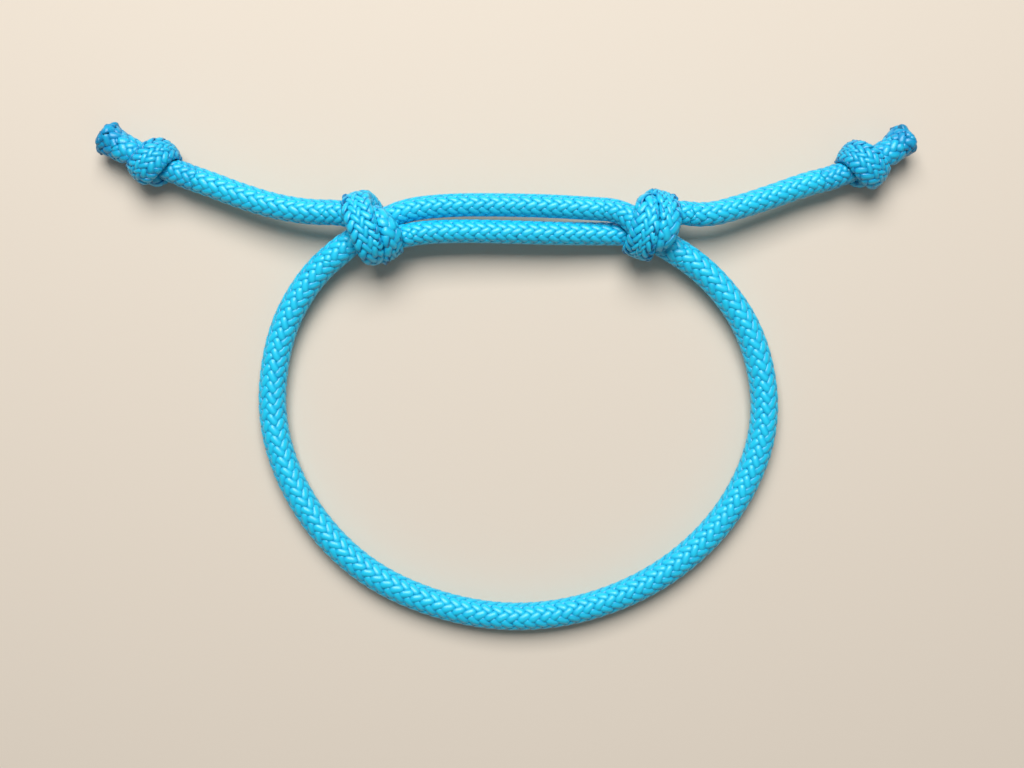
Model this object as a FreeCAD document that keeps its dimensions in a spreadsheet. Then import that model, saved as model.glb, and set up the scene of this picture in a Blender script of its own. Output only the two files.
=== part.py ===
# Sliding knot bracelet: one braided nylon cord, about half a metre long.
# The cord is a wrist loop, and each of its two ends is tied round the other as an overhand
# knot that slides, so that two strands lie side by side between the two sliding knots.
# Past the sliding knots are two short tails, each with a stopper knot and a melted end.
# Millimetres, +Z up, lying on a flat surface, origin at the middle of its box on that surface.
# +X is the long way of the bracelet and +Y points from the wrist loop to the sliding knots.
import FreeCAD, Part
import math
import os

Vec = FreeCAD.Vector

doc = FreeCAD.newDocument("SlidingKnotBracelet")

# Driving dimensions
sheet = doc.addObject("Spreadsheet::Sheet", "Dimensions")
dimensions = [
    ("loop_diameter", 4.0),
    ("strand_diameter", 3.4),
    ("left_tail_diameter", 3.7),
    ("right_tail_diameter", 3.5),
    ("knot_cord_diameter", 4.6),
    ("stopper_cord_diameter", 5.0),
    ("left_knot_x", -19.7),
    ("left_knot_y", 20.9),
    ("right_knot_x", 20.3),
    ("right_knot_y", 21.3),
    ("left_knot_length", 12.5),
    ("left_knot_width", 10.8),
    ("right_knot_length", 11.5),
    ("right_knot_width", 10.2),
    ("knot_thickness", 9.4),
    ("knot_height", 4.75),
    ("knot_flatness", 0.8),
    ("left_stopper_x", -50.2),
    ("left_stopper_y", 30.4),
    ("left_stopper_length", 7.8),
    ("left_stopper_width", 7.2),
    ("right_stopper_x", 50.5),
    ("right_stopper_y", 30.0),
    ("right_stopper_length", 7.8),
    ("right_stopper_width", 7.6),
    ("stopper_thickness", 7.1),
    ("stopper_spread", 1.03),
    ("stopper_height", 3.6),
    ("left_end_diameter", 4.3),
    ("right_end_diameter", 4.1),
    ("melted_flare", 0.4),
    ("squeeze_gap", 0.12),
]
for row, (alias, value) in enumerate(dimensions, start=1):
    sheet.set("A%d" % row, alias)
    sheet.set("B%d" % row, str(value))
    sheet.setAlias("B%d" % row, alias)
doc.recompute()


def size(alias):
    return float(sheet.get(alias))


# Facets of the knotted stretches
ring_sides = 14
ring_step = 1.15
neighbour_step = 0.6
same_turn = 4.6          # cord this near along its own length does not squeeze itself
least_radius = 0.5
root_length = 5.0        # this much at each end of a knotted stretch may leave the knot's outside
blend_start = 3.0        # from here to the next length a cord takes up its knotted diameter
blend_end = 6.0
ridge = 0.12             # a point stands out over its neighbours by no more than this


# One sliding knot, seen from its own axis. The tail comes in at negative "along", the cord
# winds round the strand that runs through the knot, and leaves at positive "along".
# The angle turns from the bracelet's outer side (+Y) over the top.
# Columns: along (mm), angle (degrees), radius (mm)
left_knot_rows = [
    (-3.4, 22, 2.3),
    (-0.9, 40, 1.6),
    (1.3, 70, 2.3),
    (3.0, 120, 2.8),
    (3.6, 170, 4.0),
    (2.5, 225, 4.1),
    (1.0, 275, 4.3),
    (-0.5, 318, 4.2),
    (-1.7, 362, 4.1),
    (-1.7, 405, 4.7),
    (-0.4, 450, 4.8),
    (0.9, 495, 4.6),
    (1.2, 540, 3.5),
    (2.2, 570, 1.8),
    (4.8, 536, 1.2),
]
right_knot_rows = [
    (-3.4, 15, 1.9),
    (-0.8, 22, 1.8),
    (0.3, 45, 3.7),
    (0.6, 85, 4.7),
    (1.6, 128, 4.8),
    (2.2, 170, 4.5),
    (1.7, 215, 4.1),
    (0.9, 260, 4.3),
    (-0.2, 300, 4.2),
    (-1.2, 340, 4.0),
    (-2.0, 380, 4.6),
    (-2.0, 425, 4.3),
    (-1.4, 470, 3.4),
    (-0.4, 505, 2.5),
    (0.8, 480, 1.5),
    (2.6, 420, 1.5),
    (4.8, 383, 2.2),
]
# Half of an overhand knot in a free cord. The other half is the same half turned over, so its
# rows follow from these.
stopper_rows = [
    (-4.4, 125, 0.0),
    (-1.6, 125, 0.3),
    (-0.2, 135, 1.7),
    (1.0, 165, 2.6),
    (2.0, 205, 2.7),
    (2.2, 250, 2.7),
    (1.3, 295, 2.7),
    (0.4, 335, 2.4),
]
stopper_angle_sum = 715.0


def knot_points(rows, centre, heading, flatness, scale=1.0, mirrored=False, roll=0.0):
    """Rows of along, angle and radius as points round an axis that heads along the cord."""
    axis = Vec(math.cos(math.radians(heading)), math.sin(math.radians(heading)), 0)
    side = Vec(0, 0, 1).cross(axis)
    if mirrored:
        side = side * -1.0
    points = []
    for along, angle, radius in rows:
        turn = math.radians(angle + roll)
        across = side * (radius * math.cos(turn))
        height = Vec(0, 0, radius * math.sin(turn) * flatness)
        points.append(centre + (axis * along + across + height) * scale)
    return points


def whole_stopper():
    second_half = [(-along, stopper_angle_sum - angle, radius)
                   for along, angle, radius in reversed(stopper_rows)]
    return stopper_rows + second_half


# Routes, in the order that the cord runs, from its left end to its right end
left_end_route = [Vec(-56.9, 33.9, 3.1), Vec(-55.3, 32.8, 3.3)]
left_tail_route = [
    Vec(-42.4, 27.3, 3.8), Vec(-38.0, 25.6, 4.0), Vec(-33.0, 24.0, 4.4), Vec(-28.0, 23.1, 4.9),
]
lower_strand_route = [
    Vec(-12.0, 20.3, 4.7), Vec(-6.4, 20.5, 4.6), Vec(-0.2, 20.4, 4.4), Vec(6.2, 20.2, 4.2),
    Vec(12.2, 20.2, 3.7), Vec(17.2, 20.2, 3.3), Vec(20.6, 20.0, 3.2),
]
wrist_loop_route = [
    Vec(29.3, 14.3, 3.1), Vec(35.5, 5.4, 2.5), Vec(37.4, -6.9, 2.1), Vec(32.8, -18.6, 2.0),
    Vec(24.2, -27.5, 2.0), Vec(13.4, -32.9, 2.0), Vec(1.6, -34.9, 2.0), Vec(-10.2, -33.0, 2.0),
    Vec(-21.2, -27.8, 2.0), Vec(-29.6, -18.6, 2.0), Vec(-34.1, -6.9, 2.1), Vec(-32.9, 5.5, 2.5),
    Vec(-28.3, 14.0, 3.1),
]
upper_strand_route = [
    Vec(-22.6, 18.8, 3.7), Vec(-18.6, 21.6, 3.9), Vec(-14.4, 23.6, 4.2), Vec(-8.2, 24.2, 4.4),
    Vec(-1.2, 24.2, 4.6), Vec(5.8, 24.0, 4.9), Vec(11.8, 23.6, 5.2),
]
right_tail_route = [
    Vec(28.2, 22.6, 4.9), Vec(33.2, 24.0, 4.4), Vec(38.2, 25.7, 4.0), Vec(42.6, 27.3, 3.8),
]
right_end_route = [Vec(55.5, 33.0, 3.3), Vec(56.5, 33.6, 3.1)]

left_knot_middle = Vec(size("left_knot_x"), size("left_knot_y"), size("knot_height"))
right_knot_middle = Vec(size("right_knot_x"), size("right_knot_y"), size("knot_height"))
left_stopper_middle = Vec(size("left_stopper_x"), size("left_stopper_y"), size("stopper_height"))
right_stopper_middle = Vec(size("right_stopper_x"), size("right_stopper_y"), size("stopper_height"))

left_knot = knot_points(left_knot_rows, left_knot_middle, 0.0, size("knot_flatness"))
right_knot = knot_points(right_knot_rows, right_knot_middle, 180.0, size("knot_flatness"),
                         mirrored=True)
left_stopper = knot_points(whole_stopper(), left_stopper_middle, -24.0, 1.0,
                           scale=size("stopper_spread"), roll=88.0)
right_stopper = knot_points(whole_stopper(), right_stopper_middle + Vec(0, 0.1, 0), 25.0, 1.0,
                            scale=size("stopper_spread"), mirrored=True, roll=84.0)

stretches = [
    ("left_cord_end", left_end_route),
    ("left_stopper_knot", left_stopper),
    ("left_tail", left_tail_route),
    ("left_sliding_knot", left_knot),
    ("lower_strand", lower_strand_route),
    ("wrist_loop", wrist_loop_route),
    ("upper_strand", upper_strand_route),
    ("right_sliding_knot", list(reversed(right_knot))),
    ("right_tail", right_tail_route),
    ("right_stopper_knot", right_stopper),
    ("right_cord_end", right_end_route),
]


# Where two stretches meet: half way along the run between them
def meeting(first, second):
    return (first[-1] + second[0]) * 0.5


poles = {}
for index, (name, route) in enumerate(stretches):
    ends = list(route)
    if index > 0:
        ends.insert(0, meeting(stretches[index - 1][1], route))
    if index + 1 < len(stretches):
        ends.append(meeting(route, stretches[index + 1][1]))
    poles[name] = ends


def smooth_line(points):
    """A curve that touches the middle of each run."""
    curve = Part.BSplineCurve()
    curve.buildFromPoles(points, False, 2)
    return curve


def even_points(points, step):
    curve = smooth_line(points)
    count = max(3, int(round(curve.length() / step)) + 1)
    return curve.discretize(Number=count)


# The whole cord as samples with their distance along it
line_samples = []
distance_at = {}
travelled = 0.0
for name, route in stretches:
    distance_at[name] = travelled
    samples = even_points(poles[name], neighbour_step)
    for first, second in zip(samples, samples[1:]):
        line_samples.append((travelled, first))
        travelled += first.distanceToPoint(second)
    print("%-20s centre line %6.1f mm" % (name, smooth_line(poles[name]).length()))
print("whole cord %.0f mm" % travelled)


def squeezed_radius(point, direction, distance, free_radius, nearby, outside):
    """How far the cord reaches from its centre line before its neighbour, or the knot's outside."""
    reach = free_radius
    for other_distance, other in nearby:
        if abs(other_distance - distance) < same_turn:
            continue
        away = other - point
        facing = away.dot(direction)
        if facing > 0.05:
            reach = min(reach, away.dot(away) / (2.0 * facing) - size("squeeze_gap"))
    if outside:
        centre, half = outside
        offset = point - centre
        offset = Vec(offset.x / half.x, offset.y / half.y, offset.z / half.z)
        towards = Vec(direction.x / half.x, direction.y / half.y, direction.z / half.z)
        square = towards.dot(towards)
        along = offset.dot(towards) / square
        inside = along * along - (offset.dot(offset) - 1.0) / square
        reach = min(reach, math.sqrt(max(inside, 0.0)) - along)
    return max(reach, least_radius)


def ring_directions(points, first_run, last_run):
    """For each station, directions all round the cord, carried along without twist."""
    directions = []
    side = Vec(0.13, 0.21, 1.0)
    last = len(points) - 1
    for k, point in enumerate(points):
        if k == 0:
            tangent = Vec(first_run)
        elif k == last:
            tangent = Vec(last_run)
        else:
            tangent = points[k + 1] - points[k - 1]
        tangent.normalize()
        side = side - tangent * side.dot(tangent)
        side.normalize()
        other = tangent.cross(side)
        turns = [2 * math.pi * n / ring_sides for n in range(ring_sides)]
        directions.append([side * math.cos(turn) + other * math.sin(turn) for turn in turns])
    return directions


def without_ridges(reaches):
    """Points that stand out over all their neighbours are brought in."""
    lowered = [list(row) for row in reaches]
    for k in range(1, len(reaches) - 1):
        for n in range(ring_sides):
            around = (reaches[k][n - 1] + reaches[k][(n + 1) % ring_sides]
                      + reaches[k - 1][n] + reaches[k + 1][n]) / 4.0
            lowered[k][n] = max(least_radius, min(reaches[k][n], around + ridge))
    return lowered


def ring_solid(rings, start_cap, end_cap):
    """A closed solid of flat triangles through rings of points."""
    faces = []

    def triangle(a, b, c):
        faces.append(Part.Face(Part.makePolygon([a, b, c, a])))

    count = len(rings[0])
    for lower, upper in zip(rings, rings[1:]):
        for k in range(count):
            n = (k + 1) % count
            triangle(lower[k], lower[n], upper[k])
            triangle(lower[n], upper[n], upper[k])
    for ring, tip, inward in ((rings[0], start_cap, True), (rings[-1], end_cap, False)):
        for k in range(count):
            n = (k + 1) % count
            if inward:
                triangle(tip, ring[n], ring[k])
            else:
                triangle(tip, ring[k], ring[n])
    solid = Part.Solid(Part.Shell(faces))
    if solid.Volume < 0:
        solid.reverse()
    return solid


def squeezed_cord(name, start_radius, middle_radius, end_radius, outside=None):
    """A knotted stretch: each ring is as wide as its neighbours leave room for."""
    ends = poles[name]
    points = even_points(ends, ring_step)
    total = smooth_line(ends).length()
    margin = Vec(4.0, 4.0, 0)
    low = Vec(min(p.x for p in points), min(p.y for p in points), 0) - margin
    high = Vec(max(p.x for p in points), max(p.y for p in points), 0) + margin
    nearby = [(d, q) for d, q in line_samples if low.x < q.x < high.x and low.y < q.y < high.y]
    directions = ring_directions(points, ends[1] - ends[0], ends[-1] - ends[-2])
    reaches = []
    for k, point in enumerate(points):
        at = total * k / (len(points) - 1)
        free_radius = middle_radius
        if at < blend_end:
            share = max(0.0, at - blend_start) / (blend_end - blend_start)
            free_radius = start_radius + (middle_radius - start_radius) * share
        elif total - at < blend_end:
            share = max(0.0, total - at - blend_start) / (blend_end - blend_start)
            free_radius = end_radius + (middle_radius - end_radius) * share
        limit = outside if root_length < at < total - root_length else None
        reaches.append([squeezed_radius(point, direction, distance_at[name] + at, free_radius,
                                        nearby, limit) for direction in directions[k]])
    reaches = without_ridges(without_ridges(reaches))
    rings = [[point + direction * reach for direction, reach in zip(around, row)]
             for point, around, row in zip(points, directions, reaches)]
    return ring_solid(rings, points[0], points[-1])


# The melted end: lumps grow from the root to the face, in three and in two waves round it
lump_growth = 0.16
three_waves = 0.35
three_waves_turn = 0.8
two_waves = 0.25
two_waves_turn = 2.1
rim_length = 0.7
face_length = 1.0
face_share = 0.62
melted_step = 0.75


def melted_end(name, root_radius, from_start):
    """The short end past a stopper knot: it widens to a lumpy melted face."""
    ends = list(poles[name])
    if from_start:
        ends.reverse()
    points = even_points(ends, melted_step)
    out = points[-1] - points[-2]
    out.normalize()
    flare = size("melted_flare")
    tip = points[-1]
    last = len(points) - 1.0
    widths = [root_radius + flare * (k / last) ** 2 for k in range(len(points))]
    points = points + [tip + out * rim_length, tip + out * face_length]
    widths = widths + [root_radius + flare * 0.8, root_radius * face_share]
    directions = ring_directions(points, ends[1] - ends[0], out)
    rings = []
    for k, point in enumerate(points):
        lump = lump_growth * k / (len(points) - 1.0)
        ring = []
        for n, direction in enumerate(directions[k]):
            turn = 2 * math.pi * n / ring_sides
            wave = (three_waves * math.cos(3 * turn + three_waves_turn)
                    + two_waves * math.cos(2 * turn + two_waves_turn))
            ring.append(point + direction * (widths[k] * (1.0 + lump * wave)))
        rings.append(ring)
    return ring_solid(rings, points[0], points[-1])


def tube_path(name):
    """Straight runs joined by tangent arcs. Prints the radii."""
    points = poles[name]
    edges = []
    radii = []
    start = points[0]
    for before, corner, after in zip(points, points[1:], points[2:]):
        run_in = corner - before
        run_out = after - corner
        # the end runs are only half a run long, up to the meeting place
        length_in = run_in.Length * (2.0 if before is points[0] else 1.0)
        length_out = run_out.Length * (2.0 if after is points[-1] else 1.0)
        turn = run_in.getAngle(run_out)
        back = 0.45 * min(length_in, length_out)
        radii.append(back / math.tan(turn / 2.0))
        to_corner = Vec(run_in).normalize()
        from_corner = Vec(run_out).normalize()
        arc_start = corner - to_corner * back
        arc_end = corner + from_corner * back
        inward = (from_corner - to_corner).normalize()
        depth = radii[-1] / math.cos(turn / 2.0) - radii[-1]
        edges.append(Part.LineSegment(start, arc_start).toShape())
        edges.append(Part.Arc(arc_start, corner + inward * depth, arc_end).toShape())
        start = arc_end
    edges.append(Part.LineSegment(start, points[-1]).toShape())
    print("%-20s radii %s mm" % (name, " ".join("%.0f" % radius for radius in radii)))
    return Part.Wire(edges)


def add_tube(name, diameter_alias):
    """A round cord as a sweep of a circle along its path, both bound to the sheet."""
    wire = tube_path(name)
    path = doc.addObject("Part::Feature", name + "_path")
    path.Shape = wire
    circle = doc.addObject("Part::Circle", name + "_section")
    circle.setExpression("Radius", "Dimensions.%s / 2" % diameter_alias)
    run = poles[name][1] - poles[name][0]
    circle.Placement = FreeCAD.Placement(poles[name][0], FreeCAD.Rotation(Vec(0, 0, 1), run))
    tube = doc.addObject("Part::Sweep", name)
    tube.Sections = [circle]
    tube.Spine = (path, ["Edge%d" % (k + 1) for k in range(len(wire.Edges))])
    tube.Solid = True
    tube.Frenet = False
    doc.recompute()
    expected = math.pi * (size(diameter_alias) / 2) ** 2 * wire.Length
    volume = tube.Shape.Volume
    print("%-20s volume %.1f mm3, section times length %.1f mm3" % (name, volume, expected))
    if abs(volume / expected - 1) > 0.01:
        raise RuntimeError(name + " does not have its cord's volume")
    return tube


def add_faceted(name, shape):
    piece = doc.addObject("Part::Feature", name)
    piece.Shape = shape
    return piece


loop_radius = size("loop_diameter") / 2
strand_radius = size("strand_diameter") / 2
knot_radius = size("knot_cord_diameter") / 2
stopper_radius = size("stopper_cord_diameter") / 2
left_tail_radius = size("left_tail_diameter") / 2
right_tail_radius = size("right_tail_diameter") / 2
left_end_radius = size("left_end_diameter") / 2
right_end_radius = size("right_end_diameter") / 2


def half_sizes(length, width, thickness):
    return Vec(size(length) / 2, size(width) / 2, size(thickness) / 2)


# The middle of each knot and its half sizes
left_knot_outside = (
    left_knot_middle, half_sizes("left_knot_length", "left_knot_width", "knot_thickness"))
right_knot_outside = (
    right_knot_middle, half_sizes("right_knot_length", "right_knot_width", "knot_thickness"))
left_stopper_outside = (
    left_stopper_middle,
    half_sizes("left_stopper_length", "left_stopper_width", "stopper_thickness"))
right_stopper_outside = (
    right_stopper_middle,
    half_sizes("right_stopper_length", "right_stopper_width", "stopper_thickness"))

upper_strand = squeezed_cord("upper_strand", loop_radius, strand_radius, strand_radius)
lower_strand = squeezed_cord("lower_strand", strand_radius, strand_radius, loop_radius)
left_sliding_knot = squeezed_cord(
    "left_sliding_knot", left_tail_radius, knot_radius, strand_radius, left_knot_outside)
right_sliding_knot = squeezed_cord(
    "right_sliding_knot", strand_radius, knot_radius, right_tail_radius, right_knot_outside)
left_stopper_knot = squeezed_cord(
    "left_stopper_knot", left_end_radius, stopper_radius, left_tail_radius, left_stopper_outside)
right_stopper_knot = squeezed_cord(
    "right_stopper_knot", right_tail_radius, stopper_radius, right_end_radius, right_stopper_outside)

pieces = [
    add_tube("wrist_loop", "loop_diameter"),
    add_tube("left_tail", "left_tail_diameter"),
    add_tube("right_tail", "right_tail_diameter"),
    add_faceted("upper_strand", upper_strand),
    add_faceted("lower_strand", lower_strand),
    add_faceted("left_sliding_knot", left_sliding_knot),
    add_faceted("right_sliding_knot", right_sliding_knot),
    add_faceted("left_stopper_knot", left_stopper_knot),
    add_faceted("right_stopper_knot", right_stopper_knot),
    add_faceted("left_cord_end", melted_end("left_cord_end", left_end_radius, True)),
    add_faceted("right_cord_end", melted_end("right_cord_end", right_end_radius, False)),
]
for piece in pieces:
    piece.Label = piece.Name

doc.recompute()
for item in doc.Objects:
    if "Invalid" in item.State or "Error" in item.State:
        raise RuntimeError(item.Name + " has failed")
for piece in pieces:
    if piece.Shape.isNull() or not piece.Shape.isValid() or len(piece.Shape.Solids) != 1:
        raise RuntimeError(piece.Label + " is not one valid solid")

whole = FreeCAD.BoundBox()
facets = 0
for piece in pieces:
    bounds = piece.Shape.optimalBoundingBox(False)
    whole.add(bounds)
    print("%-20s lowest %.3f mm" % (piece.Label, bounds.ZMin))
    if len(piece.Shape.Faces) > 100:
        facets += len(piece.Shape.Faces)
print("box", whole)
print("facets", facets)

os.makedirs("parts", exist_ok=True)
for piece in pieces:
    piece.Shape.exportStep("parts/%s.step" % piece.Label)
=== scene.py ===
import math
import bpy
import bmesh
import numpy as np
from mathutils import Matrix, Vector


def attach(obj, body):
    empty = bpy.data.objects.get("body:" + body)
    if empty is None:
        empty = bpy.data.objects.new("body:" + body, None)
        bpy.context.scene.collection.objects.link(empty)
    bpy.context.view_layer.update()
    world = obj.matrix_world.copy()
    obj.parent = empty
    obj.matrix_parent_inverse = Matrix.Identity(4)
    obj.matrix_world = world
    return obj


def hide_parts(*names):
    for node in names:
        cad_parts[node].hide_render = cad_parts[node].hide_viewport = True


millimetre = 0.001

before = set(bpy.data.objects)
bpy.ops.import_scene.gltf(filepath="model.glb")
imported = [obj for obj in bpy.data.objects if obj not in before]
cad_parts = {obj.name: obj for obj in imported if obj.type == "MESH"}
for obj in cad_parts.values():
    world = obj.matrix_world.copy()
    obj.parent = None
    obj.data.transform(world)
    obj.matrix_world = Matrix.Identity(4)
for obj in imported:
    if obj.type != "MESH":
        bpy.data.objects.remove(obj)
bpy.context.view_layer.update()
print("frame loaded")

# Camera: straight down on the bracelet as it lies, at the photo's field of view
camera = {
    "fieldWidth": 0.1463,      # metres across the picture at the cord's height
    "aimHeight": 0.0025,
    "lens": 50.0,
    "sensor": 36.0,
    "centre": (0.00064, -0.00114),
}
cameraData = bpy.data.cameras.new("camera")
cameraData.lens = camera["lens"]
cameraData.sensor_width = camera["sensor"]
cameraData.clip_start = 0.01
cameraData.clip_end = 10.0
cameraObject = bpy.data.objects.new("camera", cameraData)
bpy.context.scene.collection.objects.link(cameraObject)
cameraDistance = camera["fieldWidth"] * camera["lens"] / camera["sensor"]
cameraObject.location = (*camera["centre"], camera["aimHeight"] + cameraDistance)
bpy.context.scene.camera = cameraObject
print("camera made")

# The cord's route, in metres, from its left end to its right end
leftEndRoute = [(-0.0569, 0.0339, 0.0031), (-0.0553, 0.0328, 0.0033)]
leftTailRoute = [
    (-0.0424, 0.0273, 0.0038), (-0.0380, 0.0256, 0.0040),
    (-0.0330, 0.0240, 0.0044), (-0.0280, 0.0231, 0.0049),
]
lowerStrandRoute = [
    (-0.0120, 0.0203, 0.0047), (-0.0064, 0.0205, 0.0046), (-0.0002, 0.0204, 0.0044),
    (0.0062, 0.0202, 0.0042), (0.0122, 0.0202, 0.0037), (0.0172, 0.0202, 0.0033),
    (0.0206, 0.0200, 0.0032),
]
wristLoopRoute = [
    (0.0293, 0.0143, 0.0031), (0.0355, 0.0054, 0.0025), (0.0374, -0.0069, 0.0021),
    (0.0328, -0.0186, 0.0020), (0.0242, -0.0275, 0.0020), (0.0134, -0.0329, 0.0020),
    (0.0016, -0.0349, 0.0020), (-0.0102, -0.0330, 0.0020), (-0.0212, -0.0278, 0.0020),
    (-0.0296, -0.0186, 0.0020), (-0.0341, -0.0069, 0.0021), (-0.0329, 0.0055, 0.0025),
    (-0.0283, 0.0140, 0.0031),
]
upperStrandRoute = [
    (-0.0226, 0.0188, 0.0037), (-0.0186, 0.0216, 0.0039), (-0.0144, 0.0236, 0.0042),
    (-0.0082, 0.0242, 0.0044), (-0.0012, 0.0242, 0.0046), (0.0058, 0.0240, 0.0049),
    (0.0118, 0.0236, 0.0052),
]
rightTailRoute = [
    (0.0282, 0.0226, 0.0049), (0.0332, 0.0240, 0.0044),
    (0.0382, 0.0257, 0.0040), (0.0426, 0.0273, 0.0038),
]
rightEndRoute = [(0.0555, 0.0330, 0.0033), (0.0565, 0.0336, 0.0031)]

# The turns of the knots: along the knot (m), angle from its outer side over the top, radius (m)
leftKnotTurns = [
    (-0.0034, 22, 0.0023), (-0.0009, 40, 0.0016), (0.0013, 70, 0.0023), (0.0030, 120, 0.0028),
    (0.0036, 170, 0.0040), (0.0025, 225, 0.0041), (0.0010, 275, 0.0043), (-0.0005, 318, 0.0042),
    (-0.0017, 362, 0.0041), (-0.0017, 405, 0.0047), (-0.0004, 450, 0.0048), (0.0009, 495, 0.0046),
    (0.0012, 540, 0.0035), (0.0022, 570, 0.0018), (0.0048, 536, 0.0012),
]
rightKnotTurns = [
    (-0.0034, 15, 0.0019), (-0.0008, 22, 0.0018), (0.0003, 45, 0.0037), (0.0006, 85, 0.0047),
    (0.0016, 128, 0.0048), (0.0022, 170, 0.0045), (0.0017, 215, 0.0041), (0.0009, 260, 0.0043),
    (-0.0002, 300, 0.0042), (-0.0012, 340, 0.0040), (-0.0020, 380, 0.0046), (-0.0020, 425, 0.0043),
    (-0.0014, 470, 0.0034), (-0.0004, 505, 0.0025), (0.0008, 480, 0.0015), (0.0026, 420, 0.0015),
    (0.0048, 383, 0.0022),
]
stopperHalfTurns = [
    (-0.0044, 125, 0.0000), (-0.0016, 125, 0.0003), (-0.0002, 135, 0.0017), (0.0010, 165, 0.0026),
    (0.0020, 205, 0.0027), (0.0022, 250, 0.0027), (0.0013, 295, 0.0027), (0.0004, 335, 0.0024),
]
stopperAngleSum = 715      # the second half is the first one turned round, end for end
stopperTurns = stopperHalfTurns + [
    (-along, stopperAngleSum - angle, radius)
    for along, angle, radius in reversed(stopperHalfTurns)]

# Each knot: the middle and half the size of its smooth outside, the middle that its turns go
# round, where it heads and how far it is rolled about that line (degrees)
knots = {
    "leftSliding": {
        "middle": (-0.0197, 0.0209, 0.00475), "half": (0.00625, 0.0054, 0.0047),
        "turnsMiddle": (-0.0197, 0.0209, 0.00475), "heading": 0, "roll": 0,
        "mirrored": False, "flatness": 0.8, "spread": 1.0,
    },
    "rightSliding": {
        "middle": (0.0203, 0.0213, 0.00475), "half": (0.00575, 0.0051, 0.0047),
        "turnsMiddle": (0.0203, 0.0213, 0.00475), "heading": 180, "roll": 0,
        "mirrored": True, "flatness": 0.8, "spread": 1.0,
    },
    "leftStopper": {
        "middle": (-0.0502, 0.0304, 0.0036), "half": (0.0039, 0.0036, 0.00355),
        "turnsMiddle": (-0.0502, 0.0304, 0.0036), "heading": -24, "roll": 88,
        "mirrored": False, "flatness": 1.0, "spread": 1.03,
    },
    "rightStopper": {
        "middle": (0.0505, 0.0300, 0.0036), "half": (0.0039, 0.0038, 0.00355),
        "turnsMiddle": (0.0505, 0.0301, 0.0036), "heading": 25, "roll": 84,
        "mirrored": True, "flatness": 1.0, "spread": 1.03,
    },
}


def knotRoute(turns, knot):
    heading = math.radians(knot["heading"])
    axis = Vector((math.cos(heading), math.sin(heading), 0.0))
    side = Vector((0.0, 0.0, 1.0)).cross(axis)
    if knot["mirrored"]:
        side = -side
    route = []
    for along, angle, radius in turns:
        turn = math.radians(angle + knot["roll"])
        height = Vector((0.0, 0.0, radius * math.sin(turn) * knot["flatness"]))
        place = axis * along + side * (radius * math.cos(turn)) + height
        route.append(tuple(Vector(knot["turnsMiddle"]) + place * knot["spread"]))
    return route


leftKnotRoute = knotRoute(leftKnotTurns, knots["leftSliding"])
rightKnotRoute = knotRoute(rightKnotTurns, knots["rightSliding"])
leftStopperRoute = knotRoute(stopperTurns, knots["leftStopper"])
rightStopperRoute = knotRoute(stopperTurns, knots["rightStopper"])

# What the cord is made of, and how it runs through each stretch. Sizes in metres.
cord = {
    "yarnsEachWay": 10,        # 20 yarns in all, over two and under two
    "yarnHeight": 0.00034,
    "yarnDip": 0.00040,        # a yarn dives this far under the two that cross it
    "yarnCover": 1.20,         # share of the room between its neighbours that a yarn fills
    "coreInset": 0.00050,
    "coreLeastRadius": 0.0002,
    "coreSides": 18,
    "coreEvery": 3,            # the core has one ring to this many stations
    "squeezeGap": 0.00004,     # between turns that press against each other
    "leastRadius": 0.0005,
    "station": 0.000225,       # step along the cord
    "spokes": 72,              # directions round the cord
    "neighbourReach": 0.009,
    "neighbourFacing": 0.00005,
    "sameTurn": 0.0046,        # what is nearer along the cord is no neighbour
    "softenRounds": 4,
    "eveningStations": 17,     # the lay changes smoothly over this many stations
    "outwardShare": 0.35,      # keeps the yarns from tipping over at sharp creases
    "rootLength": 0.005,       # the knot's outside doesn't hold the cord where it leaves
    "blendStart": 0.003,
    "blendEnd": 0.006,
}
loopRadius = 0.0020
strandRadius = 0.0017
leftTailRadius = 0.00185
rightTailRadius = 0.00175
leftEndRadius = 0.00215
rightEndRadius = 0.00205
knotRadius = 0.0023
stopperRadius = 0.0025

# node, route, radius at its start, middle and end, braid lay, knot that it belongs to
stretches = [
    ("left_cord_end", leftEndRoute, leftEndRadius, leftEndRadius, leftEndRadius, 0.0154, None),
    ("left_stopper_knot", leftStopperRoute, leftEndRadius, stopperRadius, leftTailRadius, 0.0110,
     "leftStopper"),
    ("left_tail", leftTailRoute, leftTailRadius, leftTailRadius, leftTailRadius, 0.0150, None),
    ("left_sliding_knot", leftKnotRoute, leftTailRadius, knotRadius, strandRadius, 0.0128,
     "leftSliding"),
    ("lower_strand", lowerStrandRoute, strandRadius, strandRadius, loopRadius, 0.0148, None),
    ("wrist_loop", wristLoopRoute, loopRadius, loopRadius, loopRadius, 0.0156, None),
    ("upper_strand", upperStrandRoute, loopRadius, strandRadius, strandRadius, 0.0148, None),
    ("right_sliding_knot", list(reversed(rightKnotRoute)), strandRadius, knotRadius,
     rightTailRadius, 0.0128, "rightSliding"),
    ("right_tail", rightTailRoute, rightTailRadius, rightTailRadius, rightTailRadius, 0.0150, None),
    ("right_stopper_knot", rightStopperRoute, rightTailRadius, stopperRadius, rightEndRadius, 0.0110,
     "rightStopper"),
    ("right_cord_end", rightEndRoute, rightEndRadius, rightEndRadius, rightEndRadius, 0.0154, None),
]


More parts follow.
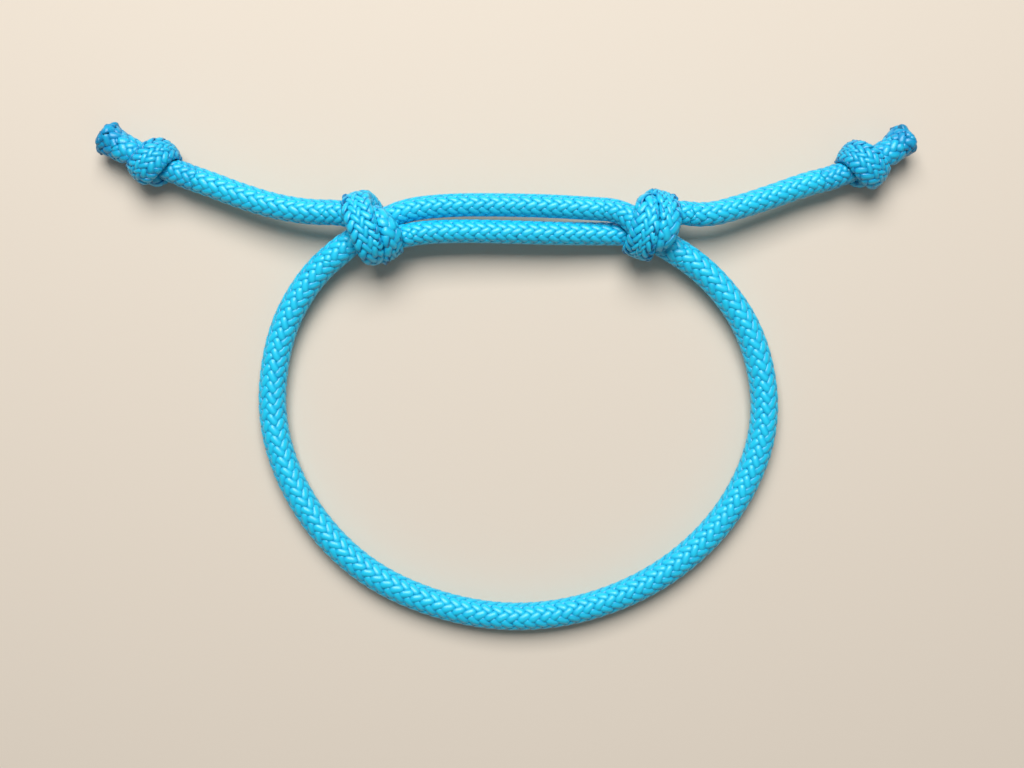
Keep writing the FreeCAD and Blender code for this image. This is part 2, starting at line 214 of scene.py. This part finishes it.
# Blender's own curve through a route, as close points; the curve itself isn't kept
def readSpline(name, points):
    curve = bpy.data.curves.new(name, "CURVE")
    curve.dimensions = "3D"
    curve.resolution_u = 64
    spline = curve.splines.new("NURBS")
    spline.points.add(len(points) - 1)
    for controlPoint, place in zip(spline.points, points):
        controlPoint.co = (*place, 1.0)
    spline.order_u = 3
    spline.use_endpoint_u = True
    holder = bpy.data.objects.new(name, curve)
    line = bpy.data.meshes.new_from_object(holder)
    places = np.array([vertex.co for vertex in line.vertices])
    bpy.data.meshes.remove(line)
    bpy.data.objects.remove(holder)
    bpy.data.curves.remove(curve)
    return places


def lengthsAlong(places):
    steps = np.linalg.norm(np.diff(places, axis=0), axis=1)
    return np.concatenate([[0.0], np.cumsum(steps)])


def evenStations(places, step):
    lengths = lengthsAlong(places)
    wanted = np.linspace(0.0, lengths[-1], int(round(lengths[-1] / step)) + 1)
    return np.stack([np.interp(wanted, lengths, places[:, k]) for k in range(3)], axis=1)


# One spline for the whole cord, and the places on it where neighbouring stretches meet
cordLine = readSpline("cordLine", [place for stretch in stretches for place in stretch[1]])
meetings = [0]
for before, after in zip(stretches, stretches[1:]):
    meeting = (np.array(before[1][-1]) + np.array(after[1][0])) / 2
    meetings.append(int(np.argmin(np.linalg.norm(cordLine - meeting, axis=1))))
meetings.append(len(cordLine) - 1)
stretchLines = {}
firstStation = {}
lastStation = {}
centreLine = np.zeros((0, 3))
for index, stretch in enumerate(stretches):
    node = stretch[0]
    stretchLines[node] = cordLine[meetings[index]:meetings[index + 1] + 1]
    stations = evenStations(stretchLines[node], cord["station"])
    if index > 0:
        stations = stations[1:]
    firstStation[node] = max(len(centreLine) - 1, 0)
    centreLine = np.concatenate([centreLine, stations])
    lastStation[node] = len(centreLine) - 1
print("cord line read:", len(centreLine), "stations")

# The melted faces: past each end the cord rolls over to a rounded rim
meltedEnd = {
    "flare": 0.0004,
    "flareLength": 0.0028,
    "capSteps": (0.0003, 0.0003, 0.0002, 0.0002),
    "capShares": (0.90, 0.74, 0.56, 0.38),
    "lump": 0.16,
    "waves": ((3, 0.35), (2, 0.25)),     # lumps round the rim, and how high each set is
    "leftWaveTurns": (0.4, 2.4),
    "rightWaveTurns": (0.9, 2.0),
}
capCount = len(meltedEnd["capSteps"])
capAlong = np.cumsum(meltedEnd["capSteps"])
startWay = centreLine[0] - centreLine[2]
startWay /= np.linalg.norm(startWay)
endWay = centreLine[-1] - centreLine[-3]
endWay /= np.linalg.norm(endWay)
centreLine = np.concatenate([
    centreLine[0] + startWay * capAlong[::-1, None], centreLine,
    centreLine[-1] + endWay * capAlong[:, None]])
for node in firstStation:
    firstStation[node] += capCount
    lastStation[node] += capCount
stationCount = len(centreLine)
alongCord = lengthsAlong(centreLine)

# Directions round the cord, carried along it without twist
tangents = np.gradient(centreLine, axis=0)
tangents /= np.linalg.norm(tangents, axis=1)[:, None]
sideways = np.zeros_like(centreLine)
side = np.array([0.0, 0.0, 1.0])
for k in range(stationCount):
    side = side - tangents[k] * side.dot(tangents[k])
    side /= np.linalg.norm(side)
    sideways[k] = side
upright = np.cross(tangents, sideways)
spokeAngles = np.linspace(0.0, 2 * math.pi, cord["spokes"], endpoint=False)
spokes = (sideways[:, None, :] * np.cos(spokeAngles)[None, :, None]
          + upright[:, None, :] * np.sin(spokeAngles)[None, :, None])

# The free radius and the braid's turn at each station
freeRadius = np.zeros(stationCount)
turnRate = np.zeros(stationCount)
knotAt = [None] * stationCount
for node, route, startRadius, middleRadius, endRadius, lay, knot in stretches:
    first = firstStation[node]
    last = lastStation[node]
    at = alongCord[first:last + 1] - alongCord[first]
    total = at[-1]
    blend = cord["blendEnd"] - cord["blendStart"]
    fromStart = np.clip((at - cord["blendStart"]) / blend, 0.0, 1.0)
    fromEnd = np.clip((total - at - cord["blendStart"]) / blend, 0.0, 1.0)
    radius = startRadius + (middleRadius - startRadius) * fromStart
    radius = np.where(at > total / 2, endRadius + (middleRadius - endRadius) * fromEnd, radius)
    freeRadius[first:last + 1] = radius
    turnRate[first:last + 1] = 2 * math.pi / lay
    for k in range(first, last + 1):
        if knot and cord["rootLength"] < at[k - first] < total - cord["rootLength"]:
            knotAt[k] = knot
freeRadius[:capCount] = leftEndRadius
freeRadius[-capCount:] = rightEndRadius
turnRate[:capCount] = turnRate[capCount]
turnRate[-capCount:] = turnRate[-capCount - 1]
steps = np.diff(alongCord, prepend=alongCord[0])
evening = np.ones(cord["eveningStations"]) / cord["eveningStations"]
turnRate = np.convolve(
    np.pad(turnRate, cord["eveningStations"] // 2, mode="edge"), evening, mode="valid")
braidTurn = np.cumsum(turnRate * steps)


# How far the cord reaches in each direction before its neighbour or the knot's outside
def squeezedReach(k):
    reach = np.full(cord["spokes"], freeRadius[k])
    away = centreLine - centreLine[k]
    square = np.einsum("ij,ij->i", away, away)
    near = square < cord["neighbourReach"] ** 2
    near = near & (np.abs(alongCord - alongCord[k]) > cord["sameTurn"])
    if near.any():
        facing = spokes[k] @ away[near].T
        limit = square[near] / (2.0 * np.maximum(facing, 1e-9)) - cord["squeezeGap"]
        limit = np.where(facing > cord["neighbourFacing"], limit, np.inf)
        reach = np.minimum(reach, limit.min(axis=1))
    if knotAt[k]:
        half = np.array(knots[knotAt[k]]["half"])
        offset = (centreLine[k] - np.array(knots[knotAt[k]]["middle"])) / half
        towards = spokes[k] / half
        squareTowards = np.einsum("ij,ij->i", towards, towards)
        along = towards @ offset / squareTowards
        inside = along ** 2 - (offset @ offset - 1.0) / squareTowards
        reach = np.minimum(reach, np.sqrt(np.maximum(inside, 0.0)) - along)
    return np.maximum(reach, cord["leastRadius"])


def softened(grid, rounds):
    for turn in range(rounds):
        padded = np.concatenate([grid[:1], grid, grid[-1:]])
        grid = (padded[:-2] + 2 * grid + padded[2:]) / 4
        grid = (np.roll(grid, 1, axis=1) + 2 * grid + np.roll(grid, -1, axis=1)) / 4
    return grid


reachGrid = softened(
    np.stack([squeezedReach(k) for k in range(stationCount)]), cord["softenRounds"])


# The ends flare, swell in lumps and roll over
def meltEnd(stations, fromTip, way, rootRadius, waveTurns):
    flat = np.array([-way[1], way[0], 0.0])
    flat /= np.linalg.norm(flat)
    top = np.cross(way, flat)
    for k, distance in zip(stations, fromTip):
        share = max(0.0, 1.0 - max(distance, 0.0) / meltedEnd["flareLength"])
        angle = np.arctan2(spokes[k] @ top, spokes[k] @ flat)
        wave = 0.0
        for (lumps, rise), turn in zip(meltedEnd["waves"], waveTurns):
            wave = wave + rise * np.cos(lumps * angle + turn)
        radius = rootRadius + meltedEnd["flare"] * share ** 2
        radius = radius * (1.0 + meltedEnd["lump"] * share * wave)
        if distance < 0:
            radius = radius * np.interp(-distance, (0, *capAlong), (1, *meltedEnd["capShares"]))
        reachGrid[k] = radius if share > 0 else reachGrid[k]


endStations = int(meltedEnd["flareLength"] / cord["station"]) + capCount
leftStations = range(endStations)
leftTip = alongCord[capCount]
meltEnd(leftStations, alongCord[:endStations] - leftTip, startWay, leftEndRadius,
        meltedEnd["leftWaveTurns"])
rightStations = range(stationCount - endStations, stationCount)
rightTip = alongCord[stationCount - 1 - capCount]
meltEnd(rightStations, rightTip - alongCord[-endStations:], endWay, rightEndRadius,
        meltedEnd["rightWaveTurns"])
firstStation["left_cord_end"] = 0
lastStation["right_cord_end"] = stationCount - 1

# The cord's surface, how much longer it is than the centre line, and which way it faces
surface = centreLine[:, None, :] + spokes * reachGrid[:, :, None]
alongWay = np.gradient(surface, axis=0)
stretched = np.linalg.norm(alongWay, axis=2) / np.gradient(alongCord)[:, None]
roundWay = np.roll(surface, -1, axis=1) - np.roll(surface, 1, axis=1)
surfaceNormals = np.cross(roundWay, alongWay)
surfaceNormals /= np.linalg.norm(surfaceNormals, axis=2)[:, :, None] + 1e-12
outward = np.einsum("ijk,ijk->ij", surfaceNormals, spokes)
surfaceNormals = np.where(outward[:, :, None] < 0, -surfaceNormals, surfaceNormals)
surfaceNormals = surfaceNormals + spokes * cord["outwardShare"]
surfaceNormals /= np.linalg.norm(surfaceNormals, axis=2)[:, :, None]
print("cord surface worked out")


# What a grid of stations and spokes holds at an angle between two spokes
def onGrid(grid, stations, angle):
    place = (angle / (2 * math.pi)) % 1.0 * cord["spokes"]
    low = np.floor(place).astype(int) % cord["spokes"]
    high = (low + 1) % cord["spokes"]
    share = place - np.floor(place)
    if grid.ndim == 3:
        share = share[:, None]
    return grid[stations, low] * (1 - share) + grid[stations, high] * share


# A yarn's section, across and up: a plump top and a narrow flat foot
yarnSection = [(-1.0, 0.08), (-0.72, 0.74), (0.0, 1.0), (0.72, 0.74), (1.0, 0.08), (0.5, -0.4),
               (-0.5, -0.4)]
# Painted light across a yarn's section: full on its top, painted shade at its edges and foot
sectionPaintedLight = np.array([0.0, 0.6, 1.0, 0.6, 0.0, 0.0, 0.0])
sectionUv = np.array([0.0, 0.25, 0.5, 0.75, 1.0, 1.2, -0.2])
yarn = {
    "crossing": 3.0,                     # higher is a quicker change from over to under
    "wander": (0.016, 0.012),            # radians to and fro
    "wanderLength": (0.0021, 0.0037),    # metres along the cord to a radian of the wave
    "widthWave": 0.04,
    "widthWaveLength": 0.0043,
    "overWidth": 0.08,                   # a yarn is this much wider where it is on top
    "overHeight": 0.06,
    "mostHeight": 0.55,                  # share of its width
    "leastStretch": 0.3,
    # share of the painted light left at a yarn's foot: painted shade between the yarns
    "footPaintedLight": 0.35,
    "uvBesideNext": 2.0,                 # each yarn has a strip of the UV map to itself
    "uvBetweenWays": 30.0,
}
randomTurns = np.random.default_rng(7).uniform(0, 2 * math.pi, (2, cord["yarnsEachWay"], 3))


# The section of one yarn at each station, the painted light and shade of each corner and its place
# on the UV map
def yarnRings(stations, way, number):
    sign = 1.0 if way == 0 else -1.0
    turns = randomTurns[way, number]
    at = alongCord[stations]
    angle = 2 * math.pi * number / cord["yarnsEachWay"] + sign * braidTurn[stations]
    wander = 0.0
    for size, length, turn in zip(yarn["wander"], yarn["wanderLength"], turns):
        wander = wander + size * np.sin(at / length + turn)
    angle = angle + wander
    wave = np.cos(cord["yarnsEachWay"] / 2 * angle - math.pi / 4)
    over = sign * np.tanh(yarn["crossing"] * wave) / math.tanh(yarn["crossing"])
    place = onGrid(surface, stations, angle)
    normal = onGrid(surfaceNormals, stations, angle)
    normal /= np.linalg.norm(normal, axis=1)[:, None]
    radius = onGrid(reachGrid, stations, angle)
    girth = 2 * math.pi * radius
    stretch = np.maximum(onGrid(stretched, stations, angle), yarn["leastStretch"])
    lean = np.arctan(radius * turnRate[stations] / stretch)
    width = girth / cord["yarnsEachWay"] * np.cos(lean) * cord["yarnCover"]
    widthWave = yarn["widthWave"] * np.sin(at / yarn["widthWaveLength"] + turns[2])
    width = width * (1.0 + yarn["overWidth"] * over + widthWave)
    height = cord["yarnHeight"] * (1.0 + yarn["overHeight"] * over)
    height = np.minimum(height, width * yarn["mostHeight"])
    dip = cord["yarnDip"] * (1.0 - over) / 2
    foot = place - normal * (height + dip)[:, None]
    run = np.gradient(foot, axis=0)
    run /= np.linalg.norm(run, axis=1)[:, None]
    normal = normal - run * np.einsum("ij,ij->i", normal, run)[:, None]
    normal /= np.linalg.norm(normal, axis=1)[:, None]
    across = np.cross(run, normal)
    rings = []
    for sidewaysShare, upShare in yarnSection:
        rings.append(foot + across * (width / 2 * sidewaysShare)[:, None]
                     + normal * (height * upShare)[:, None])
    # Painted highlight on the top of a yarn where it rides over, painted shade at its foot and where
    # it dives under the crossing yarns
    sectionShare = yarn["footPaintedLight"] + (1.0 - yarn["footPaintedLight"]) * sectionPaintedLight
    paintedLight = (0.5 + 0.5 * over)[:, None] * sectionShare[None, :]
    uv = np.zeros((len(stations), len(yarnSection), 2))
    uv[:, :, 0] = lengthsAlong(foot)[:, None] / millimetre
    uv[:, :, 1] = sectionUv + yarn["uvBesideNext"] * number + yarn["uvBetweenWays"] * way
    return np.stack(rings, axis=1), paintedLight, uv


def coreRings(first, last):
    stations = sorted(set(list(range(first, last + 1, cord["coreEvery"])) + [last]))
    pick = np.arange(0, cord["spokes"], cord["spokes"] // cord["coreSides"])
    inner = np.maximum(reachGrid[stations][:, pick] - cord["coreInset"], cord["coreLeastRadius"])
    return centreLine[stations][:, None, :] + spokes[stations][:, pick] * inner[:, :, None]


# The faces of a closed tube whose rings of corners start at the vertex firstCorner
def tubeFaces(firstCorner, rings, corners):
    faces = []
    for k in range(rings - 1):
        low = firstCorner + k * corners
        for n in range(corners):
            m = (n + 1) % corners
            faces.append((low + n, low + m, low + corners + m, low + corners + n))
    lastRing = firstCorner + (rings - 1) * corners
    faces.append(tuple(firstCorner + n for n in reversed(range(corners))))
    faces.append(tuple(lastRing + n for n in range(corners)))
    return faces


# One stretch of the cord: its yarns, in slot 0, and the core below them, in slot 1
def braidMesh(name, first, last, brightness):
    stations = np.arange(first, last + 1)
    places = []
    paintedLights = []
    uvs = []
    faces = []
    placeCount = 0
    for way in range(2):
        for number in range(cord["yarnsEachWay"]):
            rings, paintedLight, uv = yarnRings(stations, way, number)
            places.append(rings.reshape(-1, 3))
            paintedLights.append(paintedLight.reshape(-1) * brightness)
            uvs.append(uv.reshape(-1, 2))
            faces += tubeFaces(placeCount, len(stations), len(yarnSection))
            placeCount += len(places[-1])
    yarnFaceCount = len(faces)
    core = coreRings(first, last)
    places.append(core.reshape(-1, 3))
    paintedLights.append(np.zeros(len(places[-1])))
    uvs.append(np.zeros((len(places[-1]), 2)))
    faces += tubeFaces(placeCount, len(core), cord["coreSides"])
    slots = [0] * yarnFaceCount + [1] * (len(faces) - yarnFaceCount)
    mesh = bpy.data.meshes.new(name)
    mesh.from_pydata(np.concatenate(places).tolist(), [], faces)
    mesh.polygons.foreach_set("material_index", slots)
    mesh.polygons.foreach_set("use_smooth", [True] * len(faces))
    paintedLightLayer = mesh.attributes.new("paintedLight", "FLOAT", "POINT")
    paintedLightLayer.data.foreach_set("value", np.concatenate(paintedLights).astype(np.float32))
    uvLayer = mesh.uv_layers.new(name="yarn")
    corner = np.zeros(len(mesh.loops), np.int32)
    mesh.loops.foreach_get("vertex_index", corner)
    uvLayer.data.foreach_set("uv", np.concatenate(uvs)[corner].reshape(-1).astype(np.float32))
    mesh.update()
    return mesh


# Colours are sRGB hex and turned to linear
def linearColour(hexCode):
    values = []
    for k in (0, 2, 4):
        value = int(hexCode[k:k + 2], 16) / 255
        values.append(value / 12.92 if value <= 0.04045 else ((value + 0.055) / 1.055) ** 2.4)
    return (*values, 1.0)


# Settings in lower case are the node's own, all others are values of its sockets
def addNode(tree, kind, settings=(), links=()):
    node = tree.nodes.new(kind)
    for name, value in dict(settings).items():
        if isinstance(name, str) and name[0].islower():
            setattr(node, name, value)
        else:
            node.inputs[name].default_value = value
    for name, source in dict(links).items():
        tree.links.new(source, node.inputs[name])
    return node


# A colour ramp from places on it and their hex colours
def addRamp(tree, source, stops):
    ramp = addNode(tree, "ShaderNodeValToRGB", {}, {"Fac": source})
    for position, hexCode in stops[1:-1]:
        ramp.color_ramp.elements.new(position)
    for element, (position, hexCode) in zip(ramp.color_ramp.elements, stops):
        element.position = position
        element.color = linearColour(hexCode)
    return ramp.outputs["Color"]


def newMaterial(name):
    material = bpy.data.materials.new(name)
    material.use_nodes = True
    material.node_tree.nodes.clear()
    return material, material.node_tree


# Satin multifilament nylon: soft streaks of light along each yarn from its filament relief, a
# painted highlight on each yarn's top and painted shade, in deep blue, between the yarns
nylon = {
    # the ramp runs from painted shade in deep blue to a painted highlight in pale cyan, shifted a
    # little by random tone
    "colours": ((0.0, "03527C"), (0.45, "0588C2"), (1.0, "1ECCF2")),
    "roughness": 0.33,
    "sheen": "9BE8FF",
    "streaksPerMm": 0.35,      # along the yarn
    "filamentsAcross": 8.0,    # real filaments are finer, drawn this coarse to show
    "shadesPerMm": 0.45,       # slow changes of shade, along and across
    "shadesAcross": 0.6,
    "shadeShare": 0.3,
    "filamentRelief": 0.00004,
}
braidNylon, tree = newMaterial("braidedNylonYarn")
uvNode = addNode(tree, "ShaderNodeUVMap", {"uv_map": "yarn"})
paintedLightNode = addNode(tree, "ShaderNodeAttribute", {"attribute_name": "paintedLight"})
streakMapping = addNode(tree, "ShaderNodeMapping",
                        {"Scale": (nylon["streaksPerMm"], nylon["filamentsAcross"], 1.0)},
                        {"Vector": uvNode.outputs["UV"]})
filamentNode = addNode(tree, "ShaderNodeTexNoise",
                       {"noise_dimensions": "2D", "Scale": 1.0, "Detail": 3.0, "Roughness": 0.6},
                       {"Vector": streakMapping.outputs["Vector"]})
shadeMapping = addNode(tree, "ShaderNodeMapping",
                       {"Scale": (nylon["shadesPerMm"], nylon["shadesAcross"], 1.0)},
                       {"Vector": uvNode.outputs["UV"]})
shadeNode = addNode(tree, "ShaderNodeTexNoise",
                    {"noise_dimensions": "2D", "Scale": 1.0, "Detail": 2.0},
                    {"Vector": shadeMapping.outputs["Vector"]})
# Random tone along the yarns added to the painted light and shade held in the yarn attribute
shadeMix = addNode(tree, "ShaderNodeMath", {"operation": "MULTIPLY_ADD", 1: nylon["shadeShare"]},
                   {0: shadeNode.outputs["Fac"], 2: paintedLightNode.outputs["Fac"]})
shadeRange = addNode(tree, "ShaderNodeMapRange",
                     {"From Min": 0.1, "From Max": 1.05, "To Min": 0.0, "To Max": 1.0},
                     {"Value": shadeMix.outputs["Value"]})
yarnColour = addRamp(tree, shadeRange.outputs["Result"], nylon["colours"])
bump = addNode(tree, "ShaderNodeBump", {"Strength": 0.35, "Distance": nylon["filamentRelief"]},
               {"Height": filamentNode.outputs["Fac"]})
shader = addNode(tree, "ShaderNodeBsdfPrincipled",
                 {"Roughness": nylon["roughness"], "IOR": 1.53, "Sheen Weight": 0.04,
                  "Sheen Roughness": 0.4, "Sheen Tint": linearColour(nylon["sheen"]),
                  "Specular IOR Level": 0.45},
                 {"Base Color": yarnColour, "Normal": bump.outputs["Normal"]})
addNode(tree, "ShaderNodeOutputMaterial", {}, {"Surface": shader.outputs["BSDF"]})

# The cord's core, seen only between the yarns: its blues, darker than the yarns', are painted shade
corePaintedShadeColours = ((0.0, "056690"), (1.0, "0A80AE"))
coreGrainPerMetre = 900.0
corePaintedShadeNylon, tree = newMaterial("nylonCorePaintedShade")
objectCoordinates = addNode(tree, "ShaderNodeTexCoord")
grain = addNode(tree, "ShaderNodeTexNoise", {"Scale": coreGrainPerMetre, "Detail": 2.0},
                {"Vector": objectCoordinates.outputs["Object"]})
shader = addNode(tree, "ShaderNodeBsdfPrincipled", {"Roughness": 0.7},
                 {"Base Color": addRamp(tree, grain.outputs["Fac"], corePaintedShadeColours)})
addNode(tree, "ShaderNodeOutputMaterial", {}, {"Surface": shader.outputs["BSDF"]})

# Nylon that has melted and set: mottled in two blues, with small runs
meltedColours = ((0.3, "07709E"), (0.7, "14A4D2"))
meltedRunsPerMetre = 700.0
meltedNylon, tree = newMaterial("meltedNylon")
objectCoordinates = addNode(tree, "ShaderNodeTexCoord")
runNoise = addNode(tree, "ShaderNodeTexNoise", {"Scale": meltedRunsPerMetre, "Detail": 3.0},
                   {"Vector": objectCoordinates.outputs["Object"]})
meltedColour = addRamp(tree, runNoise.outputs["Fac"], meltedColours)
bump = addNode(tree, "ShaderNodeBump", {"Strength": 0.5, "Distance": 0.0001},
               {"Height": runNoise.outputs["Fac"]})
shader = addNode(tree, "ShaderNodeBsdfPrincipled", {"Roughness": 0.33, "IOR": 1.53},
                 {"Base Color": meltedColour, "Normal": bump.outputs["Normal"]})
addNode(tree, "ShaderNodeOutputMaterial", {}, {"Surface": shader.outputs["BSDF"]})
print("materials made")

pieceNames = {
    "left_cord_end": "leftMeltedEnd",
    "left_stopper_knot": "leftStopperKnot",
    "left_tail": "leftTail",
    "left_sliding_knot": "leftSlidingKnot",
    "lower_strand": "lowerStrand",
    "wrist_loop": "wristLoop",
    "upper_strand": "upperStrand",
    "right_sliding_knot": "rightSlidingKnot",
    "right_tail": "rightTail",
    "right_stopper_knot": "rightStopperKnot",
    "right_cord_end": "rightMeltedEnd",
}
# The knots and, most of all, the ends are drawn a little darker
darkenedShares = {"_cord_end": 0.62, "_stopper_knot": 0.82, "_sliding_knot": 0.96}
for node, pieceName in pieceNames.items():
    brightness = min([share for ending, share in darkenedShares.items() if node.endswith(ending)] + [1.0])
    mesh = braidMesh(pieceName, firstStation[node], lastStation[node], brightness)
    mesh.materials.append(braidNylon)
    mesh.materials.append(corePaintedShadeNylon)
    piece = bpy.data.objects.new(pieceName, mesh)
    bpy.context.scene.collection.objects.link(piece)
    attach(piece, "root")
    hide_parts(node)
    print("braided", pieceName, len(mesh.polygons), "faces")

# The melted face of each end: nylon run together in lobes
meltedCap = {
    "radius": 0.0023,
    "thickness": 0.00095,
    "centreOut": 0.00010,
    "lobes": 6,
    "lesserLobes": 4,
    "lesserShare": 0.6,
    "lobeDepth": 0.09,
    "lump": 0.10,
    "lumpWaves": (9, 8),       # along and across the face
    "dimple": 0.35,
    "dimpleSlope": 1.6,
    "leftTurn": 0.6,
    "rightTurn": 2.2,
}


def makeMeltedCap(name, tip, way, turn):
    cap = bmesh.new()
    bmesh.ops.create_icosphere(cap, subdivisions=5, radius=1.0)
    for vertex in cap.verts:
        x, y, z = vertex.co
        angle = math.atan2(y, x)
        distance = math.hypot(x, y)
        lobe = math.cos(meltedCap["lobes"] * angle + turn)
        lesserLobe = math.cos(meltedCap["lesserLobes"] * angle + 2.1 * turn)
        lobe += meltedCap["lesserShare"] * lesserLobe
        swell = 1.0 + meltedCap["lobeDepth"] * lobe * distance
        lump = math.sin(meltedCap["lumpWaves"][0] * x + turn)
        lump *= meltedCap["lump"] * math.sin(meltedCap["lumpWaves"][1] * y + 1.7 * turn)
        dimple = meltedCap["dimple"] * max(0.0, 1.0 - meltedCap["dimpleSlope"] * distance)
        height = z * (1.0 - dimple) + lump
        vertex.co = (x * meltedCap["radius"] * swell, y * meltedCap["radius"] * swell,
                     height * meltedCap["thickness"])
    turned = Vector(way).to_track_quat("Z", "Y").to_matrix()
    bmesh.ops.rotate(cap, verts=cap.verts, cent=(0, 0, 0), matrix=turned)
    centre = Vector(tip) + Vector(way) * meltedCap["centreOut"]
    bmesh.ops.translate(cap, verts=cap.verts, vec=centre)
    capMesh = bpy.data.meshes.new(name)
    cap.to_mesh(capMesh)
    cap.free()
    capMesh.polygons.foreach_set("use_smooth", [True] * len(capMesh.polygons))
    capMesh.materials.append(meltedNylon)
    capObject = bpy.data.objects.new(name, capMesh)
    bpy.context.scene.collection.objects.link(capObject)
    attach(capObject, "root")


makeMeltedCap("leftMeltedFace", cordLine[0], startWay, meltedCap["leftTurn"])
makeMeltedCap("rightMeltedFace", cordLine[-1], endWay, meltedCap["rightTurn"])
print("melted faces made")

# The free cords: each leaves one knot and goes into another
pathStep = 8        # every eighth point of the spline is enough for a path
for node, radius in (("wrist_loop", loopRadius), ("upper_strand", strandRadius),
                     ("lower_strand", strandRadius)):
    line = stretchLines[node][::pathStep]
    line = np.concatenate([line, stretchLines[node][-1:]])

# A plain pale floor, a hair below the cord
floor = {"size": 3.0, "height": -0.00002, "colour": "D8CCBC", "roughness": 0.7}
floorShape = bmesh.new()
bmesh.ops.create_grid(floorShape, x_segments=2, y_segments=2, size=floor["size"] / 2)
bmesh.ops.translate(floorShape, verts=floorShape.verts, vec=(0, 0, floor["height"]))
floorMesh = bpy.data.meshes.new("floor")
floorShape.to_mesh(floorMesh)
floorShape.free()
floorPaint, tree = newMaterial("paleFloor")
shader = addNode(tree, "ShaderNodeBsdfPrincipled",
                 {"Base Color": linearColour(floor["colour"]), "Roughness": floor["roughness"]})
addNode(tree, "ShaderNodeOutputMaterial", {}, {"Surface": shader.outputs["BSDF"]})
floorMesh.materials.append(floorPaint)
floorObject = bpy.data.objects.new("floor", floorMesh)
bpy.context.scene.collection.objects.link(floorObject)

# Soft studio light: a wide lamp above the knots' side, a weak one opposite, a pale surround
lights = [
    {"name": "mainLight", "place": (-0.03, 0.28, 0.44), "size": 0.34, "power": 3.5},
    {"name": "fillLight", "place": (0.25, -0.35, 0.40), "size": 0.5, "power": 0.2},
]
for light in lights:
    lamp = bpy.data.lights.new(light["name"], "AREA")
    lamp.size = light["size"]
    lamp.energy = light["power"]
    lampObject = bpy.data.objects.new(light["name"], lamp)
    lampObject.location = light["place"]
    lampObject.rotation_euler = Vector(light["place"]).to_track_quat("Z", "Y").to_euler()
    bpy.context.scene.collection.objects.link(lampObject)
surround = {"colour": "F4F6FA", "strength": 0.15}
world = bpy.data.worlds.new("studio")
world.use_nodes = True
background = world.node_tree.nodes["Background"]
background.inputs["Color"].default_value = linearColour(surround["colour"])
background.inputs["Strength"].default_value = surround["strength"]
bpy.context.scene.world = world
bpy.context.scene.view_settings.view_transform = "Standard"
print("floor and lights made")
